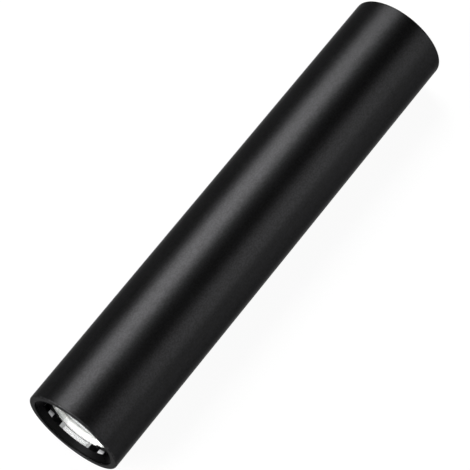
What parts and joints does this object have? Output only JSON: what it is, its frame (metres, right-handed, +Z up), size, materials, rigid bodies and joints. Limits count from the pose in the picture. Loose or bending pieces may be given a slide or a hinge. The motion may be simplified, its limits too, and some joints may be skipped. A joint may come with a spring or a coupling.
{
  "type": "uv flashlight",
  "caption": "Straight black tube flashlight with a recessed ultraviolet lamp, bright reflector behind a crown ring, screw-on tail cap and a push switch in its end.",
  "frame": {"origin": "on the surface it lies on, under the middle of the barrel", "axes": "+X along the barrel towards the beam, +Z up, +Y across the barrel"},
  "size_m": [0.1298, 0.025, 0.025],
  "materials": {
    "anodised_black": "satin",
    "crown_black": "satin",
    "button_black": "satin",
    "lens_glass": "polished",
    "silicone_white": "matte",
    "reflector_bright": "polished",
    "plastic_white": "satin",
    "ceramic_white": "satin",
    "led_die": "satin",
    "led_dome": "polished",
    "board_white": "satin",
    "brass_turned": "satin",
    "board_green": "satin",
    "ferrite": "matte",
    "plastic_black": "satin",
    "plastic_red": "satin",
    "lead_red": "satin",
    "lead_black": "satin",
    "cell_wrap": "gloss",
    "steel_plated": "satin",
    "rubber_black": "matte"
  },
  "bodies": {
    "barrel": {"body_tube": "anodised_black", "crown_ring": "crown_black", "lens": "lens_glass", "lens_seal": "silicone_white", "reflector": "reflector_bright", "led_gasket": "plastic_white", "led_base": "ceramic_white", "led_die": "led_die", "led_dome": "led_dome", "led_board": "board_white", "pill": "brass_turned", "driver_board": "board_green", "driver_coil": "ferrite", "driver_chip": "plastic_black", "driver_ring": "brass_turned", "driver_contact": "brass_turned", "led_lead_positive": "lead_red", "led_lead_negative": "lead_black", "battery_can": "cell_wrap", "battery_washer": "plastic_white", "battery_cap": "steel_plated"},
    "seal_ring": {"tail_o_ring": "rubber_black"},
    "cap": {"tail_cap": "anodised_black", "tail_spring": "steel_plated", "switch_ring": "brass_turned", "switch_board": "board_green", "switch_spacer": "plastic_black", "switch_housing": "plastic_black", "switch_spring": "steel_plated", "switch_boot": "rubber_black"},
    "button": {"tail_button": "button_black", "switch_plunger": "plastic_red"}
  },
  "joints": [
    {"name": "cap_travel", "type": "slide", "parent": "barrel", "child": "seal_ring", "axis": [-1, 0, 0], "range_m": [0, 0.006]},
    {"name": "cap_turn", "type": "hinge", "parent": "seal_ring", "child": "cap", "pos_m": [-0.049, 0, 0.0125], "axis": [-1, 0, 0], "range_deg": [0, 1440]},
    {"name": "switch_press", "type": "slide", "parent": "cap", "child": "button", "axis": [1, 0, 0], "range_m": [0, 0.0018], "stiffness_N_per_m": 1500, "springref_m": -0.0004, "deforming": ["switch_spring", "switch_boot"]}
  ],
  "couplings": [
    {"joint": "cap_travel", "follows": "cap_turn", "m_per_rad": 0.00023873}
  ]
}
